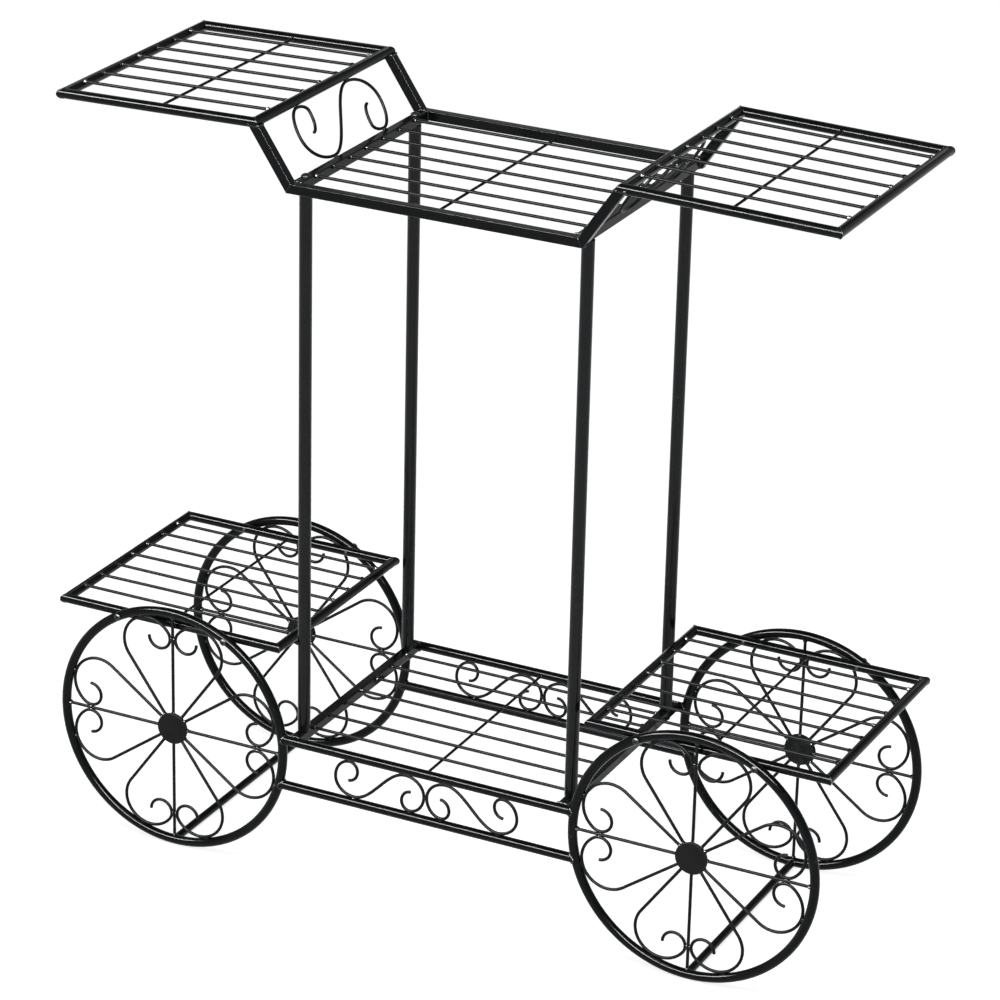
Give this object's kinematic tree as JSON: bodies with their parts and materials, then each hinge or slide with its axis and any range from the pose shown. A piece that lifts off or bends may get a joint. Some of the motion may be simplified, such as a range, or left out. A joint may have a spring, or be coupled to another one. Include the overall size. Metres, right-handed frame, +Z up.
{
  "type": "plant trolley",
  "caption": "Cart-shaped plant stand in black painted tube and wire: stepped top trays on posts, a bottom tray with scroll panels, and low trays between fixed scroll-spoked wheels.",
  "frame": {"origin": "on the floor under the middle of the cart", "axes": "+X along the cart towards the right-hand wheels, +Y across it from front to back, +Z up"},
  "size_m": [0.841, 0.2758, 0.7885],
  "materials": {
    "frame_paint": "gloss black paint on steel tube",
    "wire_paint": "gloss black paint on steel wire",
    "hub_paint": "satin black paint on steel plate",
    "bolt_finish": "black oxide on steel"
  },
  "bodies": {
    "root": {"bottom_cross_bar_left": "frame_paint", "bottom_cross_bar_right": "frame_paint", "bottom_tray_grid": "wire_paint", "centre_cross_bar_left": "frame_paint", "centre_cross_bar_right": "frame_paint", "centre_tray_grid": "wire_paint", "floor_tube_left": "frame_paint", "floor_tube_right": "frame_paint", "hub_plate_left_back": "hub_paint", "hub_plate_left_front": "hub_paint", "hub_plate_right_back": "hub_paint", "hub_plate_right_front": "hub_paint", "panel_scroll_back_left": "wire_paint", "panel_scroll_back_right": "wire_paint", "panel_scroll_front_left": "wire_paint", "panel_scroll_front_right": "wire_paint", "post_foot_bolt_left_back": "bolt_finish", "post_foot_bolt_left_front": "bolt_finish", "post_foot_bolt_right_back": "bolt_finish", "post_foot_bolt_right_front": "bolt_finish", "post_left_back": "frame_paint", "post_left_front": "frame_paint", "post_right_back": "frame_paint", "post_right_front": "frame_paint", "post_top_bolt_left_back": "bolt_finish", "post_top_bolt_left_front": "bolt_finish", "post_top_bolt_right_back": "bolt_finish", "post_top_bolt_right_front": "bolt_finish", "rail_back_lower": "frame_paint", "rail_back_upper": "frame_paint", "rail_front_lower": "frame_paint", "rail_front_upper": "frame_paint", "side_member_back": "frame_paint", "side_member_front": "frame_paint", "side_tray_frame_left": "frame_paint", "side_tray_frame_right": "frame_paint", "side_tray_grid_left": "wire_paint", "side_tray_grid_right": "wire_paint", "slope_scroll_left": "wire_paint", "slope_scroll_right": "wire_paint", "tray_bolt_left_back_inner": "bolt_finish", "tray_bolt_left_back_outer": "bolt_finish", "tray_bolt_left_front_inner": "bolt_finish", "tray_bolt_left_front_outer": "bolt_finish", "tray_bolt_right_back_inner": "bolt_finish", "tray_bolt_right_back_outer": "bolt_finish", "tray_bolt_right_front_inner": "bolt_finish", "tray_bolt_right_front_outer": "bolt_finish", "upper_tray_frame_left": "frame_paint", "upper_tray_frame_right": "frame_paint", "upper_tray_grid_left": "wire_paint", "upper_tray_grid_right": "wire_paint", "wheel_rim_left_back": "frame_paint", "wheel_rim_left_front": "frame_paint", "wheel_rim_right_back": "frame_paint", "wheel_rim_right_front": "frame_paint", "wheel_spider_left_back": "wire_paint", "wheel_spider_left_front": "wire_paint", "wheel_spider_right_back": "wire_paint", "wheel_spider_right_front": "wire_paint"}
  },
  "joints": []
}
